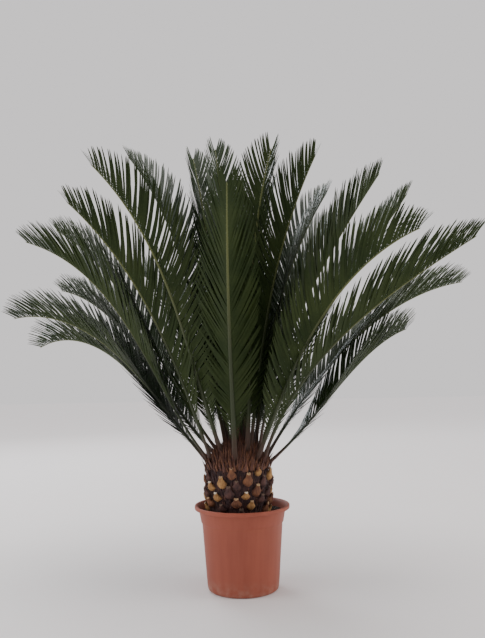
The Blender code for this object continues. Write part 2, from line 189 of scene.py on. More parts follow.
# %% A socket that can be reckoned with
class Value:
    """A shader socket. Each operator on it adds one Math node."""

    def __init__(self, tree, socket):
        self.tree = tree
        self.socket = socket

    def node(self, kind, settings, inputs, output=0):
        """Any other node: its settings first, then its sockets' values or links."""
        made = self.tree.nodes.new(kind)
        for name, value in settings.items():
            setattr(made, name, value)
        for name, value in inputs.items():
            if isinstance(value, Value):
                self.tree.links.new(value.socket, made.inputs[name])
            else:
                made.inputs[name].default_value = value
        return Value(self.tree, made.outputs[output])

    def math(self, operation, first, second=0.0):
        """One Math node on two values."""
        return self.node("ShaderNodeMath", {"operation": operation}, {0: first, 1: second})

    def __add__(self, other):
        return self.math("ADD", self, other)

    def __radd__(self, other):
        return self.math("ADD", other, self)

    def __sub__(self, other):
        return self.math("SUBTRACT", self, other)

    def __rsub__(self, other):
        return self.math("SUBTRACT", other, self)

    def __mul__(self, other):
        return self.math("MULTIPLY", self, other)

    def __rmul__(self, other):
        return self.math("MULTIPLY", other, self)

    def ramp(self, low, high):
        """0 below low, 1 above high, and a smooth step between them."""
        limits = {"Value": self, "From Min": low, "From Max": high}
        return self.node("ShaderNodeMapRange", {"interpolation_type": "SMOOTHSTEP"}, limits)

    def noise(self, scale, detail=3.0, rough=0.55):
        """Cloudy noise read at this place; the scale is in waves a metre."""
        numbers = {"Vector": self, "Scale": scale, "Detail": detail, "Roughness": rough}
        return self.node("ShaderNodeTexNoise", {}, numbers)

    def stretched(self, scales):
        """This place with each axis multiplied, to stretch a pattern along another axis."""
        return self.node("ShaderNodeVectorMath", {"operation": "MULTIPLY"}, {0: self, 1: scales})

    def mix(self, first, second):
        """A colour between two colours, by this value."""
        colours = {0: self, 6: first, 7: second}
        return self.node("ShaderNodeMix", {"data_type": "RGBA"}, colours, output=2)

    def bump(self, strength, distance):
        """A normal that this value raises and lowers by a distance in metres."""
        numbers = {"Height": self, "Strength": strength, "Distance": distance}
        return self.node("ShaderNodeBump", {}, numbers)


def rgb(red, green, blue):
    """A shader colour from linear red, green and blue."""
    return (red, green, blue, 1.0)


def new_finish(name):
    """A material with its Principled shader, and the place on the piece in metres."""
    material = bpy.data.materials.new(name)
    material.use_nodes = True
    tree = material.node_tree
    shader = tree.nodes["Principled BSDF"]
    place = Value(tree, tree.nodes.new("ShaderNodeTexCoord").outputs["Object"])
    return material, shader, place


def wire(shader, **sockets):
    """Values and links into the shader, by socket name with underscores for spaces."""
    for name, value in sockets.items():
        socket = shader.inputs[name.replace("_", " ")]
        if isinstance(value, Value):
            value.tree.links.new(value.socket, socket)
        else:
            socket.default_value = value


# %% [markdown]
# ## The pot's finish
# The pot is terracotta-coloured polypropylene, injection moulded: one even colour, a dull
# satin face, faint upright streaks where the plastic flowed, and dust near the floor.
# Streaks come from noise that is squeezed sideways and drawn out in height.

# %% Terracotta plastic
def terracotta_plastic():
    """Colour = streaks and clouds in equal parts, paler where dust lies at the foot."""
    material, shader, place = new_finish("terracotta_plastic")
    streaks = place.stretched((60.0, 60.0, 3.0)).noise(1.0, detail=2.0)
    clouds = place.noise(9.0, detail=4.0)
    height = place.node("ShaderNodeSeparateXYZ", {}, {0: place}, output=2)
    dust = (1 - height.ramp(0.0, 0.045)) * place.noise(55.0).ramp(0.35, 0.7)
    tone = (streaks * 0.5 + clouds * 0.5).ramp(0.3, 0.7)
    plain = tone.mix(rgb(0.30, 0.068, 0.036), rgb(0.36, 0.090, 0.050))
    colour = (dust * 0.45).mix(plain, rgb(0.42, 0.26, 0.19))
    grain = place.noise(900.0, detail=2.0)
    wire(shader, Base_Color=colour, Roughness=0.46 + clouds * 0.16,
         Normal=(grain * 0.5 + streaks * 0.5).bump(0.25, 0.0004), Specular_IOR_Level=0.45)
    return material


POT_PLASTIC = terracotta_plastic()

# %% [markdown]
# ## The pot
# A nursery pot is a thin tapered shell. Its heel is rounded, a small step under the collar
# lets pots stack, and the lip turns out into a rim that stiffens it. Underneath, a standing
# ring keeps the middle just clear of the ground. All of it is one profile, turned.

# %% Turn the pot
POT_SIDES = 144
POT_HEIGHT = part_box("pot")[1].z
LIP_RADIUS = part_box("pot")[1].x
POT_WALL = 0.0025
FOOT_RADIUS = 0.083
HEEL_RADIUS = 0.0895
HEEL_HEIGHT = 0.015
WAIST_RADIUS = 0.1005
WAIST_HEIGHT = 0.161
COLLAR_RADIUS = 0.103
COLLAR_HEIGHT = 0.165
NECK_RADIUS = 0.1085
NECK_HEIGHT = 0.195
MOUTH_RADIUS = 0.112
LIP_DEPTH = 0.009
LIP_ROUND = 0.0016
HEEL_ROUND = 0.008
HEEL_SIDES = 8
LIP_SIDES = 5
STANDING_RING = 0.007
RECESS = 0.0015


def pot_profile():
    """Underside, heel, wall, step, collar and lip, then down the inside to the floor."""
    lip_low = POT_HEIGHT - LIP_DEPTH
    under = [(FOOT_RADIUS - STANDING_RING - RECESS, RECESS), (FOOT_RADIUS - STANDING_RING, 0.0)]
    heel = arc((HEEL_RADIUS - HEEL_ROUND - 0.001, HEEL_ROUND), HEEL_ROUND, -90, -10, HEEL_SIDES)
    wall = [(HEEL_RADIUS, HEEL_HEIGHT), (WAIST_RADIUS, WAIST_HEIGHT)]
    step = [(WAIST_RADIUS + 0.0007, WAIST_HEIGHT + 0.0014),
            (COLLAR_RADIUS - 0.0006, COLLAR_HEIGHT - 0.0012), (COLLAR_RADIUS, COLLAR_HEIGHT)]
    neck = [(NECK_RADIUS - 0.0006, NECK_HEIGHT - 0.004), (NECK_RADIUS, NECK_HEIGHT)]
    under_lip = [(NECK_RADIUS + 0.0012, lip_low + 0.0006), (LIP_RADIUS - 0.0035, lip_low + 0.0004)]
    lip = arc((LIP_RADIUS - LIP_ROUND, lip_low + LIP_ROUND), LIP_ROUND, -90, 0, LIP_SIDES)
    rim = arc((LIP_RADIUS - LIP_ROUND, POT_HEIGHT - LIP_ROUND), LIP_ROUND, 0, 90, LIP_SIDES)
    mouth = [(MOUTH_RADIUS + 0.0012, POT_HEIGHT - 0.0002), (MOUTH_RADIUS, POT_HEIGHT - 0.0012)]
    inside = [(NECK_RADIUS - POT_WALL, NECK_HEIGHT), (COLLAR_RADIUS - POT_WALL, COLLAR_HEIGHT),
              (WAIST_RADIUS - POT_WALL, WAIST_HEIGHT), (HEEL_RADIUS - POT_WALL, HEEL_HEIGHT),
              (FOOT_RADIUS - POT_WALL, POT_WALL)]
    return under + heel + wall + step + neck + under_lip + lip + rim + mouth + inside


pot_grid, _ = turned_grid(pot_profile(), POT_SIDES)
pot_points, pot_faces = turned_mesh(pot_grid, RECESS, POT_WALL)
pot = add_piece("pot_shell", pot_points, pot_faces, [POT_PLASTIC])
pot.data.set_sharp_from_angle(angle=math.radians(38))
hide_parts("pot")

# %% [markdown]
# ## The soil
# Peat-based potting soil, settled a little below the rim. Seen from the side it is only a
# dark rough disc, but the eye notices a flat one, so its top is heaved by a few sine waves
# in random directions, and crumbs lie on it.

# %% A cheap smooth noise for shapes
def ripple(points, wavelength, waves, seed):
    """Mean of sines of the place's distance along random directions, about -1 to 1."""
    rng = np.random.default_rng(seed)
    directions = unit(rng.normal(size=(waves, 3)))
    phases = rng.uniform(0, 2 * math.pi, waves)
    return np.sin(points @ directions.T * 2 * math.pi / wavelength + phases).mean(-1) * 2


# %% Soil finish and body
def potting_soil():
    """Colour = lumps between near black and brown; the relief adds fine fibres."""
    material, shader, place = new_finish("potting_soil")
    lumps = place.noise(260.0, detail=6.0, rough=0.7)
    fibres = place.stretched((500.0, 90.0, 300.0)).noise(1.0, detail=3.0)
    colour = lumps.ramp(0.35, 0.75).mix(rgb(0.010, 0.007, 0.006), rgb(0.060, 0.036, 0.022))
    wire(shader, Base_Color=colour, Roughness=0.86 + fibres * 0.12,
         Normal=(lumps * 0.7 + fibres * 0.3).bump(0.9, 0.003))
    return material


SOIL = potting_soil()
SOIL_SIDES = 128
SOIL_GAP = 0.0006
soil_low, soil_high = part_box("root_ball")
SOIL_TOP = soil_high.z
SOIL_EDGE = COLLAR_RADIUS + 0.0005
SOIL_HEAVE = 0.00132
SOIL_LEVEL = SOIL_TOP - 0.003
SOIL_INNER_EDGE = 0.070

soil_side = [(FOOT_RADIUS - POT_WALL - SOIL_GAP, soil_low.z),
             (HEEL_RADIUS - POT_WALL - SOIL_GAP, HEEL_HEIGHT),
             (WAIST_RADIUS - POT_WALL - SOIL_GAP, WAIST_HEIGHT),
             (COLLAR_RADIUS - POT_WALL - SOIL_GAP, COLLAR_HEIGHT)]
soil_top = [(r, SOIL_LEVEL) for r in np.linspace(SOIL_EDGE, SOIL_INNER_EDGE, 14)]
soil_grid, _ = turned_grid(soil_side + soil_top, SOIL_SIDES)
top_part = soil_grid[len(soil_side):]
heave = ripple(top_part, 0.022, 9, 11) + 0.5 * ripple(top_part, 0.008, 9, 12)
top_part[..., 2] += SOIL_HEAVE * heave
soil_points, soil_faces = turned_mesh(soil_grid, soil_low.z, SOIL_LEVEL)
soil = add_piece("soil", soil_points, soil_faces, [SOIL])
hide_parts("root_ball")

# %% [markdown]
# ## Crumbs of soil
# Loose peat lumps, a few pale chips of perlite among them. Each is the twenty-sided solid,
# squashed and turned at random, half sunk into the surface in the ring round the trunk.

# %% Scatter the crumbs
GOLDEN = (1 + math.sqrt(5)) / 2
CRUMB_INNER_EDGE = 0.074
LUMP_POINTS = unit(np.array([
    (-1, GOLDEN, 0), (1, GOLDEN, 0), (-1, -GOLDEN, 0), (1, -GOLDEN, 0),
    (0, -1, GOLDEN), (0, 1, GOLDEN), (0, -1, -GOLDEN), (0, 1, -GOLDEN),
    (GOLDEN, 0, -1), (GOLDEN, 0, 1), (-GOLDEN, 0, -1), (-GOLDEN, 0, 1)]))
LUMP_FACES = np.array([
    (0, 11, 5), (0, 5, 1), (0, 1, 7), (0, 7, 10), (0, 10, 11), (1, 5, 9), (5, 11, 4),
    (11, 10, 2), (10, 7, 6), (7, 1, 8), (3, 9, 4), (3, 4, 2), (3, 2, 6), (3, 6, 8),
    (3, 8, 9), (4, 9, 5), (2, 4, 11), (6, 2, 10), (8, 6, 7), (9, 8, 1)])


def scatter_crumbs(name, count, size, material, seed):
    """Lumps at random angles and radii: point = centre + turned (solid * three sizes)."""
    rng = np.random.default_rng(seed)
    angle = rng.uniform(0, 2 * math.pi, count)
    radius = rng.uniform(CRUMB_INNER_EDGE, SOIL_EDGE - 0.003, count)
    height = SOIL_LEVEL + rng.uniform(-0.0005, 0.0015, count)
    centres = np.stack([radius * np.cos(angle), radius * np.sin(angle), height], 1)
    sizes = rng.uniform(0.45, 1.0, (count, 1, 3)) * rng.uniform(0.4, 1.0, (count, 1, 1)) * size
    turns = np.linalg.qr(rng.normal(size=(count, 3, 3)))[0]
    turns *= np.sign(np.linalg.det(turns))[:, None, None]
    wobble = 1 + rng.uniform(-0.22, 0.22, (count, len(LUMP_POINTS), 1))
    lumps = (LUMP_POINTS[None] * wobble * sizes) @ turns + centres[:, None]
    faces = (LUMP_FACES[None] + np.arange(count)[:, None, None] * len(LUMP_POINTS)).reshape(-1, 3)
    return add_piece(name, lumps.reshape(-1, 3), faces, [material])


def perlite():
    """Colour = fine pits between two chalky whites."""
    material, shader, place = new_finish("perlite_chip")
    pits = place.noise(700.0, detail=2.0)
    colour = pits.mix(rgb(0.42, 0.37, 0.30), rgb(0.62, 0.58, 0.50))
    wire(shader, Base_Color=colour, Roughness=0.85, Normal=pits.bump(0.5, 0.0005))
    return material


scatter_crumbs("soil_crumbs", 520, 0.0038, SOIL, 21)
scatter_crumbs("perlite_chips", 16, 0.0026, perlite(), 22)

# %% [markdown]
# ## The trunk's finishes
# Under the leaf bases the trunk is felted with dark, purplish brown fibre. The leaf bases
# themselves run from old dark ones through russet to gold, and a few end in a fresh pale cut.
# Which base has which colour is a matter of place, so each colour is a piece of its own.

# %% Bark finishes
def bark_finish(name, dark, light, fibre=(420.0, 420.0, 60.0), depth=0.0015, rough=0.82):
    """Fibrous bark between two colours, its fibres drawn out along the trunk."""
    material, shader, place = new_finish(name)
    fibres = place.stretched(fibre).noise(1.0, detail=4.0)
    blotch = place.noise(75.0, detail=4.0, rough=0.6)
    tone = (fibres * 0.45 + blotch * 0.55).ramp(0.32, 0.68)
    wire(shader, Base_Color=tone.mix(dark, light), Roughness=rough + fibres * 0.1,
         Normal=(fibres * 0.6 + blotch * 0.4).bump(0.7, depth))
    return material


CORE_BARK = bark_finish("felted_bark", rgb(0.020, 0.010, 0.011), rgb(0.065, 0.030, 0.028))
BASE_DARK = bark_finish("leaf_base_dark", rgb(0.030, 0.014, 0.014), rgb(0.120, 0.055, 0.045))
BASE_RUSSET = bark_finish("leaf_base_russet", rgb(0.085, 0.032, 0.020), rgb(0.240, 0.100, 0.045))
BASE_GOLD = bark_finish("leaf_base_gold", rgb(0.200, 0.090, 0.030), rgb(0.480, 0.270, 0.100))
CUT_DARK = bark_finish("old_cut", rgb(0.060, 0.035, 0.025), rgb(0.160, 0.100, 0.065))
CUT_TAN = bark_finish("tan_cut", rgb(0.260, 0.150, 0.075), rgb(0.460, 0.310, 0.170))
CUT_PALE = bark_finish("fresh_cut", rgb(0.520, 0.420, 0.290), rgb(0.760, 0.680, 0.540))
SCALE_DARK = bark_finish("dry_scale", rgb(0.026, 0.012, 0.013), rgb(0.092, 0.042, 0.042))
SCALE_RED = bark_finish("woolly_scale", rgb(0.048, 0.020, 0.015), rgb(0.150, 0.060, 0.040))
BRISTLE = bark_finish("dry_bristle", rgb(0.020, 0.012, 0.012), rgb(0.060, 0.036, 0.032))

# %% [markdown]
# ## The trunk's core
# The core is the barrel and dome of the solid, with a fibrous relief. Its radius follows a
# parabola through foot, belly and shoulder, and the dome falls off with a power of the radius.

# %% Barrel and dome
trunk_low, trunk_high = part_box("trunk")
STEM_X = -0.009
TRUNK_FOOT_RADIUS = 0.080
TRUNK_BELLY_RADIUS = 0.087
TRUNK_BELLY_HEIGHT = 0.262
SHOULDER_RADIUS = 0.084
SHOULDER_HEIGHT = 0.302
DOME_RISE = 0.052
DOME_POWER = 2.4
CORE_SINK = 0.009
CORE_RELIEF = 0.00084
CORE_SIDES = 160
DOME_SINK = 0.004
BARREL_PARABOLA = np.polyfit((SOIL_TOP, TRUNK_BELLY_HEIGHT, SHOULDER_HEIGHT),
                             (TRUNK_FOOT_RADIUS, TRUNK_BELLY_RADIUS, SHOULDER_RADIUS), 2)
STEM = np.array([STEM_X, 0.0, 0.0])
print("trunk box centre", round((trunk_low.x + trunk_high.x) / 2, 4), "stem", STEM_X)


def dome_height(radius):
    """Shoulder height + rise * (1 - (radius / shoulder radius) to the dome's power)."""
    return SHOULDER_HEIGHT + DOME_RISE * (1 - (radius / SHOULDER_RADIUS) ** DOME_POWER)


barrel = [(np.polyval(BARREL_PARABOLA, z) - CORE_SINK, z)
          for z in np.linspace(trunk_low.z, SHOULDER_HEIGHT - DOME_SINK, 40)]
dome = [(r, dome_height(r) - DOME_SINK) for r in np.linspace(SHOULDER_RADIUS - 0.010, 0.004, 24)]
core_grid, _ = turned_grid(barrel + dome, CORE_SIDES)
fibres = ripple(core_grid * (1, 1, 0.25), 0.005, 12, 31) + ripple(core_grid, 0.014, 10, 32)
outward = unit(core_grid * (1, 1, 0) + (0, 0, 1e-6))
core_grid[1:] += outward[1:] * (fibres[1:, :, None] * CORE_RELIEF)
core_points, core_faces = turned_mesh(core_grid, trunk_low.z, dome_height(0) - DOME_SINK)
core = add_piece("trunk_core", core_points + STEM, core_faces, [CORE_BARK])
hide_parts("trunk")

# %% [markdown]
# ## Leaf bases
# When a frond is cut or falls, its swollen base stays on the trunk. They follow the same
# spiral as the leaves: each is turned by the golden angle from the one before, a fixed step
# higher, which is what gives the pineapple pattern. A base bulges out of the trunk, turns
# upwards and ends in the cut stub of the stalk, which is grooved on its upper side.

# %% Where the bases sit
GOLDEN_ANGLE = math.radians(137.508)
BASE_COUNT = 54


def trunk_frame(angle, height):
    """Point on the barrel, with the directions outward, sideways and up its surface."""
    radius = np.polyval(BARREL_PARABOLA, height)
    lean = np.polyval(np.polyder(BARREL_PARABOLA), height)
    flat = np.stack([np.cos(angle), np.sin(angle), np.zeros_like(angle)], 1)
    climb = unit(flat * lean[:, None] + (0, 0, 1))
    sideways = np.stack([-np.sin(angle), np.cos(angle), np.zeros_like(angle)], 1)
    place = STEM + flat * radius[:, None] + np.stack([angle * 0, angle * 0, height], 1)
    return place, np.cross(sideways, climb), sideways, climb


base_order = np.arange(BASE_COUNT)
base_rng = np.random.default_rng(41)
base_angle = base_order * GOLDEN_ANGLE + base_rng.normal(0, 0.04, BASE_COUNT)
base_height = np.linspace(SOIL_TOP + 0.002, SHOULDER_HEIGHT - 0.006, BASE_COUNT)
base_height = base_height + base_rng.normal(0, 0.002, BASE_COUNT)
base_size = base_rng.uniform(0.82, 1.12, BASE_COUNT)
base_age = base_rng.permutation(BASE_COUNT) / BASE_COUNT
print("leaf bases:", BASE_COUNT, "over", round(base_height[-1] - base_height[0], 3), "m of trunk")

# %% Their shape
BASE_SIDES = 16
# Half width, half height, distance out and rise in millimetres, and the ring's tilt.
BASE_RINGS = np.array([
    (11.0, 8.0, -6.0, -5.0, 8), (12.4, 9.6, -1.0, -4.0, 10), (12.6, 9.8, 2.2, -3.0, 14),
    (11.6, 9.0, 5.0, -1.4, 20), (9.6, 7.2, 6.8, 1.2, 30), (7.2, 5.2, 7.4, 4.8, 44),
    (5.8, 4.2, 7.6, 8.2, 52), (5.3, 4.0, 8.4, 11.0, 48), (5.2, 4.2, 9.4, 12.6, 34)])
BASE_SINK = 0.009
BASE_LUMPS = 0.0009
CORNER_POWER = 0.3
GROOVE_DEPTH = 0.85
GROOVE_WIDTH = 0.5
STUB_RING = 5


def leaf_bases(name, chosen, side_finish, cut_finish):
    """Rings of rounded diamonds along a line that turns from outward to upward.

    x = cos|cos|^0.3 and y = sin|sin|^0.3, each times its half size; y is pressed in at the
    middle of the upper side, more and more towards the cut, for the stalk's groove. The
    lumps are two ripples, added along the outward direction.
    """
    rng = np.random.default_rng(len(chosen))
    place, out, side, climb = trunk_frame(base_angle[chosen], base_height[chosen])
    theta = np.arange(BASE_SIDES) * 2 * math.pi / BASE_SIDES
    x = np.cos(theta) * np.abs(np.cos(theta)) ** CORNER_POWER
    y = np.sin(theta) * np.abs(np.sin(theta)) ** CORNER_POWER
    ring = np.arange(len(BASE_RINGS))
    groove = np.clip((ring - STUB_RING) / (len(BASE_RINGS) - 1 - STUB_RING), 0, 1)
    notch = np.exp(-((theta - math.pi / 2) / GROOVE_WIDTH) ** 2)
    y = y[None] * (1 - GROOVE_DEPTH * groove[:, None] * notch[None])
    half_width, half_height, reach, rise = (BASE_RINGS[:, i, None] / 1000 for i in range(4))
    tilt = np.radians(BASE_RINGS[:, 4, None])
    local_out = reach - y * half_height * np.sin(tilt)
    local_climb = rise + y * half_height * np.cos(tilt)
    local_side = half_width * x[None]
    size = base_size[chosen][:, None, None, None]
    longer = rng.uniform(0.85, 1.25, (len(chosen), 1, 1, 1))
    rings = place[:, None, None] - out[:, None, None] * BASE_SINK + size * (
        side[:, None, None] * local_side[None, :, :, None]
        + climb[:, None, None] * local_climb[None, :, :, None] * longer
        + out[:, None, None] * local_out[None, :, :, None])
    lumps = ripple(rings, 0.009, 10, 42) + 0.6 * ripple(rings, 0.0035, 10, 43)
    rings += out[:, None, None] * lumps[..., None] * BASE_LUMPS
    tips = rings[:, -1].mean(1)
    points = np.concatenate([rings.reshape(len(chosen), -1, 3), tips[:, None]], 1).reshape(-1, 3)
    faces, _ = spike_faces(len(chosen), len(BASE_RINGS), BASE_SIDES)
    per_base = len(faces) // len(chosen)
    wall_count = 2 * (len(BASE_RINGS) - 1) * BASE_SIDES
    is_cut = np.zeros(per_base, int)
    is_cut[wall_count:wall_count + BASE_SIDES] = 1
    piece = add_piece(name, points, faces, [side_finish, cut_finish],
                      np.tile(is_cut, len(chosen)))
    piece.data.set_sharp_from_angle(angle=math.radians(50))


# Name, share of the bases up to which it reaches, side finish and cut finish.
BASE_KINDS = (("leaf_bases_dark", 0.30, BASE_DARK, CUT_DARK),
              ("leaf_bases_russet", 0.58, BASE_RUSSET, CUT_TAN),
              ("leaf_bases_gold", 0.78, BASE_GOLD, CUT_TAN),
              ("leaf_bases_fresh", 1.0, BASE_GOLD, CUT_PALE))
share_from = 0.0
for kind_name, share_to, side_finish, cut_finish in BASE_KINDS:
    of_this_kind = (base_age >= share_from) & (base_age < share_to)
    leaf_bases(kind_name, base_order[of_this_kind], side_finish, cut_finish)
    share_from = share_to

# %% [markdown]
# ## Scales on the trunk
# Between the leaf bases stand the remains of scale leaves: dry, woolly tongues that run out
# into a stiff point. They stand up along the trunk, and thin dark bristles, which are the
# veins of the oldest, make its edge prickly.

# %% Spread the scales
SCALE_OUTLINE = np.array([(1, 0), (0.5, 0.20), (0, 0.28), (-0.5, 0.20), (-1, 0), (0, -0.10)])
SCALE_STATIONS = np.array([0.0, 0.18, 0.38, 0.58, 0.80])
SCALE_WIDTHS = np.array([0.95, 1.0, 0.66, 0.30, 0.13])
SCALE_SINK = 0.009


def scales(name, roots, aim, bend, face_hint, lengths, widths, finish, slot):
    """Flat pointed tongues; each bends along its own arc and narrows to its tip."""
    centres, across, face, tips = bent_spikes(roots, aim, bend, face_hint, lengths, SCALE_STATIONS)
    half_widths = widths[:, None] / 2 * SCALE_WIDTHS
    points = spike_points(centres, across, face, half_widths, SCALE_OUTLINE, tips)
    faces, _ = spike_faces(len(roots), len(SCALE_STATIONS), len(SCALE_OUTLINE))
    return add_piece(name, points, faces, [finish])


def trunk_scales(name, count, finish, seed, leans, length_range, width_range):
    """Scales all over the barrel: aim = up the surface and out, bending further out."""
    rng = np.random.default_rng(seed)
    angle = (np.arange(count) + rng.uniform(0, 0.5, count)) * GOLDEN_ANGLE + seed
    height = np.linspace(SOIL_TOP - 0.004, SHOULDER_HEIGHT + 0.002, count)
    place, out, side, climb = trunk_frame(angle, height)
    lean = rng.uniform(*leans, (count, 1))
    sway = rng.normal(0, 0.12, (count, 1))
    aim = unit(climb + out * lean + side * sway)
    bend = out * rng.uniform(-0.02, 0.14, (count, 1))
    lengths = rng.uniform(*length_range, count)
    widths = rng.uniform(*width_range, count)
    return scales(name, place - out * SCALE_SINK, aim, bend, -out, lengths, widths, finish, "trunk")


trunk_scales("trunk_scales_dark", 420, SCALE_DARK, 51, (0.08, 0.34), (0.014, 0.028), (0.004, 0.009))
trunk_scales("trunk_scales_red", 300, SCALE_RED, 52, (0.05, 0.28), (0.014, 0.026), (0.003, 0.007))
trunk_scales("trunk_bristles", 420, BRISTLE, 53, (0.35, 1.0), (0.018, 0.030), (0.0012, 0.0022))

# %% [markdown]
# ## The fronds' plan
# Twenty-eight fronds leave the dome. Each one's rib is a curve whose slope over the ground
# runs along a parabola from its foot through its middle to its tip, and the solids follow
# the same rule, so the fine fronds grow exactly where the coarse ones stand.

# %% The table of fronds
# Compass direction, seat radius on the dome, slope at foot, middle and tip in degrees,
# length in metres, sideways swing and twist in degrees, and how many degrees its leaflets
# stand further open than the plant's mean.
Frond = namedtuple("Frond", "azimuth seat foot middle tip length swing twist open")
FRONDS = (
    Frond(168, 0.077, 46, 43, -10, 0.70, 0, 0, -3),
    Frond(154, 0.077, 35, 39, -24, 0.69, 0, 0, -2),
    Frond(142, 0.068, 34, 48, 12, 0.75, 12, 0, -2),
    Frond(184, 0.072, 51, 59, 16, 0.735, 0, 0, 0),
    Frond(204, 0.070, 69, 63, 40, 0.72, 0, 15, 2),
    Frond(164, 0.052, 51, 58, 30, 0.77, 0, 0, 3),
    Frond(224, 0.052, 64, 66, 34, 0.76, 0, 0, 9),
    Frond(147, 0.034, 76, 71, 48, 0.89, 0, 0, 4),
    Frond(121, 0.052, 80, 80, 67, 0.84, 0, 0, 3),
    Frond(-95, 0.070, 78, 60, 61, 0.675, 8, 0, -2),
    Frond(110, 0.032, 84, 84, 71, 0.825, 0, 0, 2),
    Frond(87, 0.042, 82, 80, 67, 0.735, 0, 0, 0),
    Frond(56, 0.030, 84, 80, 61, 0.73, 0, 0, 0),
    Frond(-62, 0.050, 82, 83, 57, 0.74, 0, 0, 6),
    Frond(-33, 0.038, 82, 76, 59, 0.74, 0, 0, 4),
    Frond(30, 0.052, 84, 71, 54, 0.75, 0, 0, 2),
    Frond(-19, 0.054, 81, 63, 54, 0.75, 0, 15, 10),
    Frond(10, 0.054, 72, 55, 55, 0.80, 0, 0, 2),
    Frond(-48, 0.070, 60, 50, 12, 0.712, 0, 0, 3),
    Frond(-33, 0.074, 70, 40, 27, 0.745, 0, 10, 0),
    Frond(20, 0.074, 56, 39, 9, 0.81, 0, 0, -2),
    Frond(4, 0.079, 38, 45, 16, 0.54, 28, 0, -2),
    Frond(62, 0.074, 62, 52, 24, 0.755, 0, 0, 3),
    Frond(83, 0.074, 64, 52, 18, 0.775, 0, 0, 3),
    Frond(104, 0.074, 56, 44, 8, 0.78, 0, 0, 0),
    Frond(126, 0.072, 62, 52, 18, 0.78, 0, 0, 0),
    Frond(46, 0.056, 72, 62, 38, 0.78, 0, 0, 0),
    Frond(96, 0.060, 74, 64, 36, 0.80, 0, 0, 0),
)
PATH_STEPS = 60


def through_three(start, middle, end, s):
    """The parabola that passes through three values at s = 0, a half and 1."""
    return start * (1 - s) * (1 - 2 * s) + middle * 4 * s * (1 - s) + end * s * (2 * s - 1)


def rachis_line(frond):
    """The rib's centre line: the running sum of equal steps at its slope and heading."""
    middle = (np.arange(PATH_STEPS) + 0.5) / PATH_STEPS
    slope = np.radians(through_three(frond.foot, frond.middle, frond.tip, middle))
    heading = np.radians(frond.azimuth + frond.swing * middle)
    flat = np.cos(slope)
    steps = np.stack([flat * np.cos(heading), flat * np.sin(heading), np.sin(slope)], 1)
    start = math.radians(frond.azimuth)
    seat = STEM + np.array([frond.seat * math.cos(start), frond.seat * math.sin(start),
                            dome_height(frond.seat)])
    points = np.vstack([seat, seat + np.cumsum(steps * frond.length / PATH_STEPS, 0)])
    return points, middle, slope, heading


def along_rachis(frond, line, share):
    """Place, and the directions along, side and up, at shares of the frond's length."""
    points, middle, slope, heading = line
    knots = np.arange(PATH_STEPS + 1) / PATH_STEPS
    place = np.stack([np.interp(share, knots, points[:, i]) for i in range(3)], 1)
    slope = np.interp(share, middle, slope)
    heading = np.interp(share, middle, heading)
    flat = np.cos(slope)
    along = np.stack([flat * np.cos(heading), flat * np.sin(heading), np.sin(slope)], 1)
    side = np.stack([-np.sin(heading), np.cos(heading), 0 * heading], 1)
    up = np.cross(along, side)
    turn = (math.radians(frond.twist) * np.minimum(1, share * 2))[:, None]
    side = side * np.cos(turn) + up * np.sin(turn)
    return place, along, side, np.cross(along, side)


lines = [rachis_line(frond) for frond in FRONDS]
print("frond tips from", np.min([l[0][-1] for l in lines], 0).round(3),
      "to", np.max([l[0][-1] for l in lines], 0).round(3))

# %% [markdown]
# ## Frond finishes
# The upper face of a leaflet is a dark, waxy green. Below it is paler and dull. The rib is
# olive, yellower along the blade and brown where it leaves the trunk: that change runs with
# the distance from the crown's heart, so it can be read off the place itself.

# %% Leaf and rib
SHEEN_NOISE = 0.14


def leaf_finish(name, dark, light, rough, gloss):
    """Two greens mixed by clouds and fine noise; the fine noise also dulls and raises."""
    material, shader, place = new_finish(name)
    clouds = place.noise(14.0, detail=3.0)
    fine = place.noise(220.0, detail=2.0)
    tone = (clouds * 0.7 + fine * 0.3).ramp(0.35, 0.65)
    wire(shader, Base_Color=tone.mix(dark, light), Roughness=rough + fine * SHEEN_NOISE,
         Normal=fine.bump(0.15, 0.0004), Specular_IOR_Level=gloss)
    return material


LEAF_TOPS = [
    leaf_finish("leaflet_top_deep", rgb(0.008, 0.021, 0.005), rgb(0.016, 0.034, 0.008), 0.22, 0.6),
    leaf_finish("leaflet_top_mid", rgb(0.011, 0.026, 0.005), rgb(0.021, 0.042, 0.009), 0.24, 0.6),
    leaf_finish("leaflet_top_fresh", rgb(0.015, 0.033, 0.006), rgb(0.028, 0.050, 0.011), 0.24, 0.6)]
LEAF_UNDER = leaf_finish("leaflet_under", rgb(0.016, 0.029, 0.006), rgb(0.030, 0.046, 0.011), 0.5, 0.15)


def rib_finish():
    """Brown to green to olive by the distance from the crown's heart, blurred by noise."""
    material, shader, place = new_finish("frond_rib")
    centre = (0.0, 0.0, SHOULDER_HEIGHT)
    distance = place.node("ShaderNodeVectorMath", {"operation": "DISTANCE"},
                          {0: place, 1: centre}, output=1)
    streaks = place.noise(90.0, detail=3.0)
    shifted = distance + (streaks - 0.5) * 0.06
    stalk = shifted.ramp(0.085, 0.15).mix(rgb(0.055, 0.028, 0.018), rgb(0.034, 0.046, 0.018))
    colour = shifted.ramp(0.30, 0.60).mix(stalk, rgb(0.100, 0.115, 0.034))
    wire(shader, Base_Color=colour, Roughness=0.40 + streaks * 0.16,
         Normal=streaks.bump(0.2, 0.0006), Specular_IOR_Level=0.3)
    return material


RIB = rib_finish()

# %% [markdown]
# ## Ribs
# A rib is nearly flat on top, where the leaflets sit along its two edges, and round below.
# It is broad at its foot, narrows quickly to the stalk and then tapers evenly to the tip.

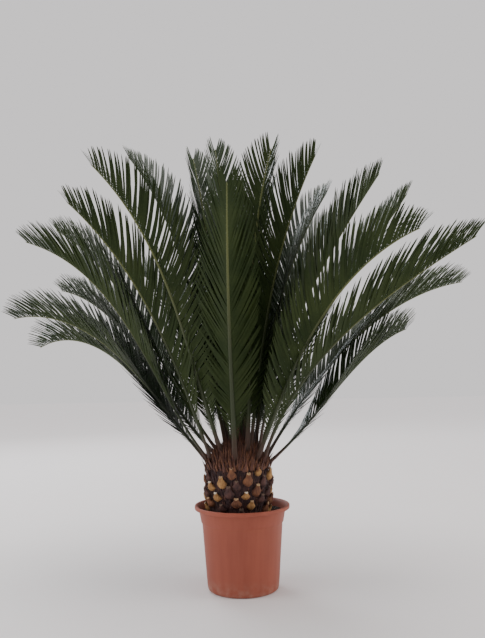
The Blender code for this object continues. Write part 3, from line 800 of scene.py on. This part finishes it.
# %% Carry an outline along each rib
RIB_FOOT_WIDTH = 0.0175
RIB_STALK_WIDTH = 0.0132
RIB_TIP_WIDTH = 0.0030
STALK_FLARE = 0.060
RIB_OUTLINE = np.array([(1, 0), (0.5, 0.16), (0, 0.05), (-0.5, 0.16), (-1, 0),
                        (-0.84, -0.5), (-0.35, -0.85), (0.35, -0.85), (0.84, -0.5)])
RIB_SHARES = np.concatenate([np.linspace(0, 0.1, 10), np.linspace(0.12, 1, 40)])


def rib_width(frond, share):
    """Even taper from stalk to tip, plus a flare that dies away with the square."""
    flare = np.maximum(0, 1 - share * frond.length / STALK_FLARE) ** 2
    taper = RIB_STALK_WIDTH + (RIB_TIP_WIDTH - RIB_STALK_WIDTH) * share
    return taper + (RIB_FOOT_WIDTH - RIB_STALK_WIDTH) * flare


def rib_arrays(frond, line):
    """One spike with a ring of the outline at each share, and a tip two widths on."""
    place, along, side, up = along_rachis(frond, line, RIB_SHARES)
    half = rib_width(frond, RIB_SHARES)[None] / 2
    tip = place[-1:] + along[-1:] * RIB_TIP_WIDTH * 2
    points = spike_points(place[None], side[None], up[None], half, RIB_OUTLINE, tip)
    faces, _ = spike_faces(1, len(RIB_SHARES), len(RIB_OUTLINE))
    return points, faces


def join(arrays):
    """Several (points, faces) as one, with the corner numbers carried on."""
    counts = np.cumsum([0] + [len(points) for points, _ in arrays[:-1]])
    return (np.concatenate([points for points, _ in arrays]),
            np.concatenate([faces + first for (_, faces), first in zip(arrays, counts)]))


# %% [markdown]
# ## Leaflets
# Each frond carries two combs of narrow, stiff leaflets. They lean forwards and close up
# towards the tip, a little more or less on each frond, as they do on plants whose fronds are
# not all of one age. They are folded up from the rib so that the frond is a V seen from its
# end, and where the rib lies flat they lift towards the light. The lowest are short spines.
# A leaflet has a slight sickle bend, margins rolled under, a middle groove and a sharp tip.

# %% The combs
FIRST_LEAF = 0.075
LAST_LEAF = 0.995
LEAF_PITCH = 0.0063
LEAF_OUTLINE = np.array([(1, -0.30), (0.62, 0.0), (0, -0.12), (-0.62, 0.0), (-1, -0.30),
                         (0, -0.34)])
UPPER_SIDES = 4
LEAF_STATIONS = np.array([0.0, 0.05, 0.2, 0.42, 0.64, 0.82, 0.94])
LEAF_SHAPE = np.array([0.62, 0.84, 1.0, 1.0, 0.94, 0.74, 0.42])
LEAF_WIDTH = 0.0054
# At the foot, the middle and the tip of the combs: angles in degrees, lengths in metres.
LEAF_ANGLES = (48, 40, 22)
LEAF_FOLDS = (-8, 38, 34)
LEAF_LENGTHS = (0.045, 0.140, 0.134)
LEAF_WIDTHS = (0.80, 1.0, 0.6)
LEAF_TIP_LOSS = 0.7
LEAF_TIP_POWER = 5
LEAF_LIFT = 0.6
LEAF_LIFT_POWER = 3
LEAF_FORWARD = 0.20
LEAF_DROOP = np.array([0, 0, -1.0]) * 0.05
SPINE_LENGTH = 0.007
SPINE_REACH = 0.11
SPINE_POWER = 1.3


def leaflet_arrays(frond, line, seed):
    """Both combs of one frond, as points, faces and each face's side.

    aim = along * cos(angle) + (side * cos(fold) + up * sin(fold)) * sin(angle) + lift.
    The lift turns the leaflets of a flat-lying outer rib towards the light overhead.
    """
    rng = np.random.default_rng(seed)
    count = int(frond.length * (LAST_LEAF - FIRST_LEAF) / LEAF_PITCH)
    steps = (np.arange(count) + 0.5) / count
    u = np.concatenate([steps, steps + 0.5 / count])
    u = np.clip(u + rng.normal(0, 0.12 / count, 2 * count), 0, 1)
    sign = np.repeat([1.0, -1.0], count)[:, None]
    share = FIRST_LEAF + (LAST_LEAF - FIRST_LEAF) * u
    place, along, side, up = along_rachis(frond, line, share)
    open_angle = through_three(*LEAF_ANGLES, u) + frond.open
    angle = np.radians(open_angle + rng.normal(0, 2.2, 2 * count))[:, None]
    fold = np.radians(through_three(*LEAF_FOLDS, u) + rng.normal(0, 3.0, 2 * count))[:, None]
    out = side * sign * np.cos(fold) + up * np.sin(fold)
    flatness = 1 - along[:, 2:] ** 2
    lift = LEAF_LIFT * u[:, None] ** LEAF_LIFT_POWER * flatness
    aim = unit(along * np.cos(angle) + out * np.sin(angle) + lift * (0, 0, 1))
    grown = np.clip((share - FIRST_LEAF) / SPINE_REACH, 0, 1) ** SPINE_POWER
    full = through_three(*LEAF_LENGTHS, u) * (1 - LEAF_TIP_LOSS * u ** LEAF_TIP_POWER)
    lengths = (SPINE_LENGTH + (full - SPINE_LENGTH) * grown) * rng.normal(1, 0.03, 2 * count)
    bend = along * rng.normal(LEAF_FORWARD, 0.03, (2 * count, 1)) + LEAF_DROOP
    half_rib = rib_width(frond, share)[:, None] / 2
    roots = place + side * sign * half_rib * 0.8 - up * 0.0004
    face_hint = up * np.cos(fold) - side * sign * np.sin(fold)
    centres, across, face, tips = bent_spikes(roots, aim, bend, face_hint, lengths, LEAF_STATIONS)
    width = LEAF_WIDTH * through_three(*LEAF_WIDTHS, u) * (0.4 + 0.6 * grown)
    half_widths = width[:, None] / 2 * LEAF_SHAPE
    points = spike_points(centres, across, face, half_widths, LEAF_OUTLINE, tips)
    faces, face_side = spike_faces(2 * count, len(LEAF_STATIONS), len(LEAF_OUTLINE))
    return points, faces, face_side


# %% Grow the fronds, four to a spray
SPRAY = 4
leaflet_total = 0
for first in range(0, len(FRONDS), SPRAY):
    group = range(first, min(first + SPRAY, len(FRONDS)))
    label = f"{group[0] + 1:02d}_to_{group[-1] + 1:02d}"
    nodes = [f"frond_{index + 1:02d}" for index in group]
    rib_points, rib_faces = join([rib_arrays(FRONDS[i], lines[i]) for i in group])
    ribs = add_piece(f"ribs_{label}", rib_points, rib_faces, [RIB])
    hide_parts(*nodes)
    combs = [leaflet_arrays(FRONDS[i], lines[i], 100 + i) for i in group]
    leaf_points, leaf_faces = join([comb[:2] for comb in combs])
    is_under = np.concatenate([comb[2] for comb in combs]) >= UPPER_SIDES
    top_finish = LEAF_TOPS[(first // SPRAY) % len(LEAF_TOPS)]
    leaflets = add_piece(f"leaflets_{label}", leaf_points, leaf_faces, [top_finish, LEAF_UNDER],
                         is_under)
    leaflets.data.set_sharp_from_angle(angle=math.radians(60))
    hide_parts(*nodes)
    leaflet_total += len(leaf_points) // (len(LEAF_STATIONS) * len(LEAF_OUTLINE) + 1)
print("leaflets:", leaflet_total)

# %% [markdown]
# ## Scales round the fronds' feet
# New fronds push up through a collar of woolly red-brown scale leaves, which stay round the
# feet of the stalks. They hide the joints with the dome and close the crown's heart.

# %% Collars of scales
COLLAR_SCALES = 7
COLLAR_SHARE = 0.004
COLLAR_SINK = 0.010


def collar_arrays(seed):
    """Scales on a small ring round every foot, leaning with the stalk and a little out."""
    rng = np.random.default_rng(seed)
    roots, aims, bends, hints = [], [], [], []
    for frond, line in zip(FRONDS, lines):
        place, along, side, up = along_rachis(frond, line, np.full(COLLAR_SCALES, COLLAR_SHARE))
        turn = (np.arange(COLLAR_SCALES) + rng.uniform(0, 1, COLLAR_SCALES)) * GOLDEN_ANGLE
        ring = side * np.cos(turn)[:, None] + up * np.sin(turn)[:, None]
        spread = ring * rng.uniform(0.005, 0.009, (COLLAR_SCALES, 1))
        roots.append(place + spread - along * COLLAR_SINK)
        aims.append(unit(along + ring * rng.uniform(-0.04, 0.12, (COLLAR_SCALES, 1))))
        bends.append(ring * rng.uniform(-0.04, 0.08, (COLLAR_SCALES, 1)))
        hints.append(-ring)
    return [np.concatenate(rows) for rows in (roots, aims, bends, hints)]


collar_rng = np.random.default_rng(62)
collar_count = COLLAR_SCALES * len(FRONDS)
scales("collar_scales", *collar_arrays(61), collar_rng.uniform(0.018, 0.038, collar_count),
       collar_rng.uniform(0.006, 0.010, collar_count), SCALE_RED, "bud")

# %% Scales over the whole dome
DOME_SCALES = 420
DOME_SCALE_SINK = 0.008
DOME_LEAN = 0.38


def dome_scales(name, seed, finish):
    """Upright scales at even spacing: radius grows with the root of the count."""
    rng = np.random.default_rng(seed)
    order = np.arange(DOME_SCALES)
    radius = SHOULDER_RADIUS * np.sqrt((order + 0.5) / DOME_SCALES)
    angle = order * GOLDEN_ANGLE + seed
    flat = np.stack([np.cos(angle), np.sin(angle), 0 * angle], 1)
    sideways = np.stack([-np.sin(angle), np.cos(angle), 0 * angle], 1)
    height = np.stack([0 * radius, 0 * radius, dome_height(radius) - DOME_SCALE_SINK], 1)
    lean = (radius / SHOULDER_RADIUS)[:, None] ** 2
    aim = unit(np.array([0, 0, 1.0]) + flat * lean * DOME_LEAN
               + sideways * rng.normal(0, 0.10, (DOME_SCALES, 1)))
    bend = flat * lean * rng.uniform(-0.05, 0.16, (DOME_SCALES, 1))
    lengths = rng.uniform(0.018, 0.036, DOME_SCALES)
    widths = rng.uniform(0.006, 0.011, DOME_SCALES)
    return scales(name, STEM + flat * radius[:, None] + height, aim, bend, -flat, lengths,
                  widths, finish, "bud")


dome_scales("dome_scales_red", 63, SCALE_RED)
dome_scales("dome_scales_russet", 64, BASE_RUSSET)

# %% [markdown]
# ## The bud
# In the heart of the crown sits next year's growth: a pointed bud wrapped in overlapping
# woolly scales, again on the golden spiral.

# %% Wrap the bud
bud_low, bud_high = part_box("crown_bud")
BUD_RADIUS = (bud_high.x - bud_low.x) / 2
BUD_HEIGHT = bud_high.z - bud_low.z
BUD_SCALES = 64
BUD_SCALE_LENGTH = 0.017
BUD_SCALE_WIDTH = 0.009


def bud_radius(t):
    """0.86 of the bud's radius at the foot, falling to the tip as (1 - t) to 0.8."""
    return BUD_RADIUS * 0.86 * (1 - t) ** 0.8


def bud_scales():
    """Scales up the lower three quarters of the bud, leaning out and bending in."""
    t = np.linspace(0, 0.92, BUD_SCALES)
    angle = np.arange(BUD_SCALES) * GOLDEN_ANGLE
    radius = bud_radius(t)
    height = bud_low.z + BUD_HEIGHT * t * 0.75
    flat = np.stack([np.cos(angle), np.sin(angle), 0 * angle], 1)
    roots = STEM + flat * radius[:, None] + np.stack([0 * t, 0 * t, height - 0.003], 1)
    aim = unit(np.array([0, 0, 1.0]) + flat * 0.12)
    bend = -flat * 0.10
    return (roots, aim, bend, -flat, np.full(BUD_SCALES, BUD_SCALE_LENGTH),
            np.full(BUD_SCALES, BUD_SCALE_WIDTH))


bud_profile = [(bud_radius(t), bud_low.z + BUD_HEIGHT * t * 0.9)
               for t in np.linspace(0, 0.97, 12)]
bud_grid, _ = turned_grid(bud_profile, 24)
bud_points, bud_faces = turned_mesh(bud_grid, bud_low.z, bud_profile[-1][1] + 0.001)
bud = add_piece("bud_core", bud_points + STEM, bud_faces, [SCALE_RED])
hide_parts("crown_bud")
scales("bud_scales", *bud_scales(), SCALE_RED, "bud")

# %% [markdown]
# ## Floor, light and camera
# The plant is shown on a plain pale floor in soft light from overhead, from both sides and,
# a little bluer, from behind on the left, as in a studio. The floor glows more and more with
# the distance, so that it meets the backdrop without an edge. The camera stands a little
# higher than the crown's foot, tilted up.

# %% Floor
FLOOR_SIZE = 12.0
GLOW_START = 0.3
GLOW_END = 4.5
floor_mesh = bpy.data.meshes.new("floor")
floor_mesh.from_pydata([(x * FLOOR_SIZE, y * FLOOR_SIZE, 0.0) for x, y in
                        ((-1, -1), (1, -1), (1, 1), (-1, 1))], [], [(0, 1, 2, 3)])
floor = bpy.data.objects.new("floor", floor_mesh)
bpy.context.scene.collection.objects.link(floor)
floor_material, floor_shader, floor_place = new_finish("pale_floor")
floor_distance = floor_place.node("ShaderNodeVectorMath", {"operation": "LENGTH"},
                                  {0: floor_place}, output=1)
floor_glow = floor_distance.ramp(GLOW_START, GLOW_END).mix(rgb(0.08, 0.075, 0.075), rgb(0.66, 0.63, 0.635))
floor_colour = floor_place.noise(3.0).mix(rgb(0.78, 0.74, 0.735), rgb(0.81, 0.77, 0.765))
wire(floor_shader, Base_Color=floor_colour,
     Roughness=0.7, Emission_Color=floor_glow, Emission_Strength=1.0)
floor_mesh.materials.append(floor_material)

# %% Light
def area_light(name, place, target, size, power, colour):
    """A round soft light; its turns are the slope and the compass angle to the target."""
    lamp = bpy.data.lights.new(name, "AREA")
    lamp.shape = "DISK"
    lamp.size = size
    lamp.energy = power
    lamp.color = colour
    item = bpy.data.objects.new(name, lamp)
    item.location = place
    direction = np.array(target) - np.array(place)
    flat = math.hypot(direction[0], direction[1])
    item.rotation_euler = (math.atan2(flat, -direction[2]), 0,
                           math.atan2(direction[1], direction[0]) - math.pi / 2)
    bpy.context.scene.collection.objects.link(item)


PLANT_MIDDLE = (0.0, 0.0, 0.6)
area_light("overhead", (0.0, 0.2, 3.4), PLANT_MIDDLE, 3.4, 95, (1.0, 0.99, 0.97))
area_light("left_window", (-3.0, -0.6, 1.8), PLANT_MIDDLE, 2.2, 42, (0.97, 0.98, 1.0))
area_light("right_window", (3.0, -0.6, 1.8), PLANT_MIDDLE, 2.2, 42, (1.0, 0.98, 0.97))
area_light("back_window", (-1.6, 2.8, 2.6), PLANT_MIDDLE, 2.0, 60, (0.90, 0.95, 1.0))
SKY = rgb(0.93, 0.90, 0.905)
WORLD_LIGHT = 0.42
world = bpy.data.worlds.new("studio")
world.use_nodes = True
sky_nodes = world.node_tree.nodes
shown = sky_nodes["Background"]
shown.inputs["Color"].default_value = SKY
fill = sky_nodes.new("ShaderNodeBackground")
fill.inputs["Color"].default_value = SKY
fill.inputs["Strength"].default_value = WORLD_LIGHT
choice = sky_nodes.new("ShaderNodeMixShader")
path = sky_nodes.new("ShaderNodeLightPath")
sky_links = world.node_tree.links
sky_links.new(path.outputs["Is Camera Ray"], choice.inputs["Fac"])
sky_links.new(fill.outputs["Background"], choice.inputs[1])
sky_links.new(shown.outputs["Background"], choice.inputs[2])
sky_links.new(choice.outputs["Shader"], sky_nodes["World Output"].inputs["Surface"])
bpy.context.scene.world = world

# %% Camera
IMAGE_HEIGHT = 638
FOCAL_PIXELS = 680
CAMERA_PLACE = (0.009, -1.74, 0.531)
CAMERA_TILT = 4.6
CAMERA_ROLL = -1.0
lens = bpy.data.cameras.new("camera")
lens.sensor_width = 36.0
lens.lens = FOCAL_PIXELS / IMAGE_HEIGHT * lens.sensor_width
camera = bpy.data.objects.new("camera", lens)
tilt = math.radians(90 + CAMERA_TILT)
roll = math.radians(CAMERA_ROLL)
bpy.context.scene.collection.objects.link(camera)
camera.matrix_world = (Matrix.Translation(CAMERA_PLACE) @ Matrix.Rotation(tilt, 4, "X")
                       @ Matrix.Rotation(roll, 4, "Z"))
bpy.context.scene.camera = camera
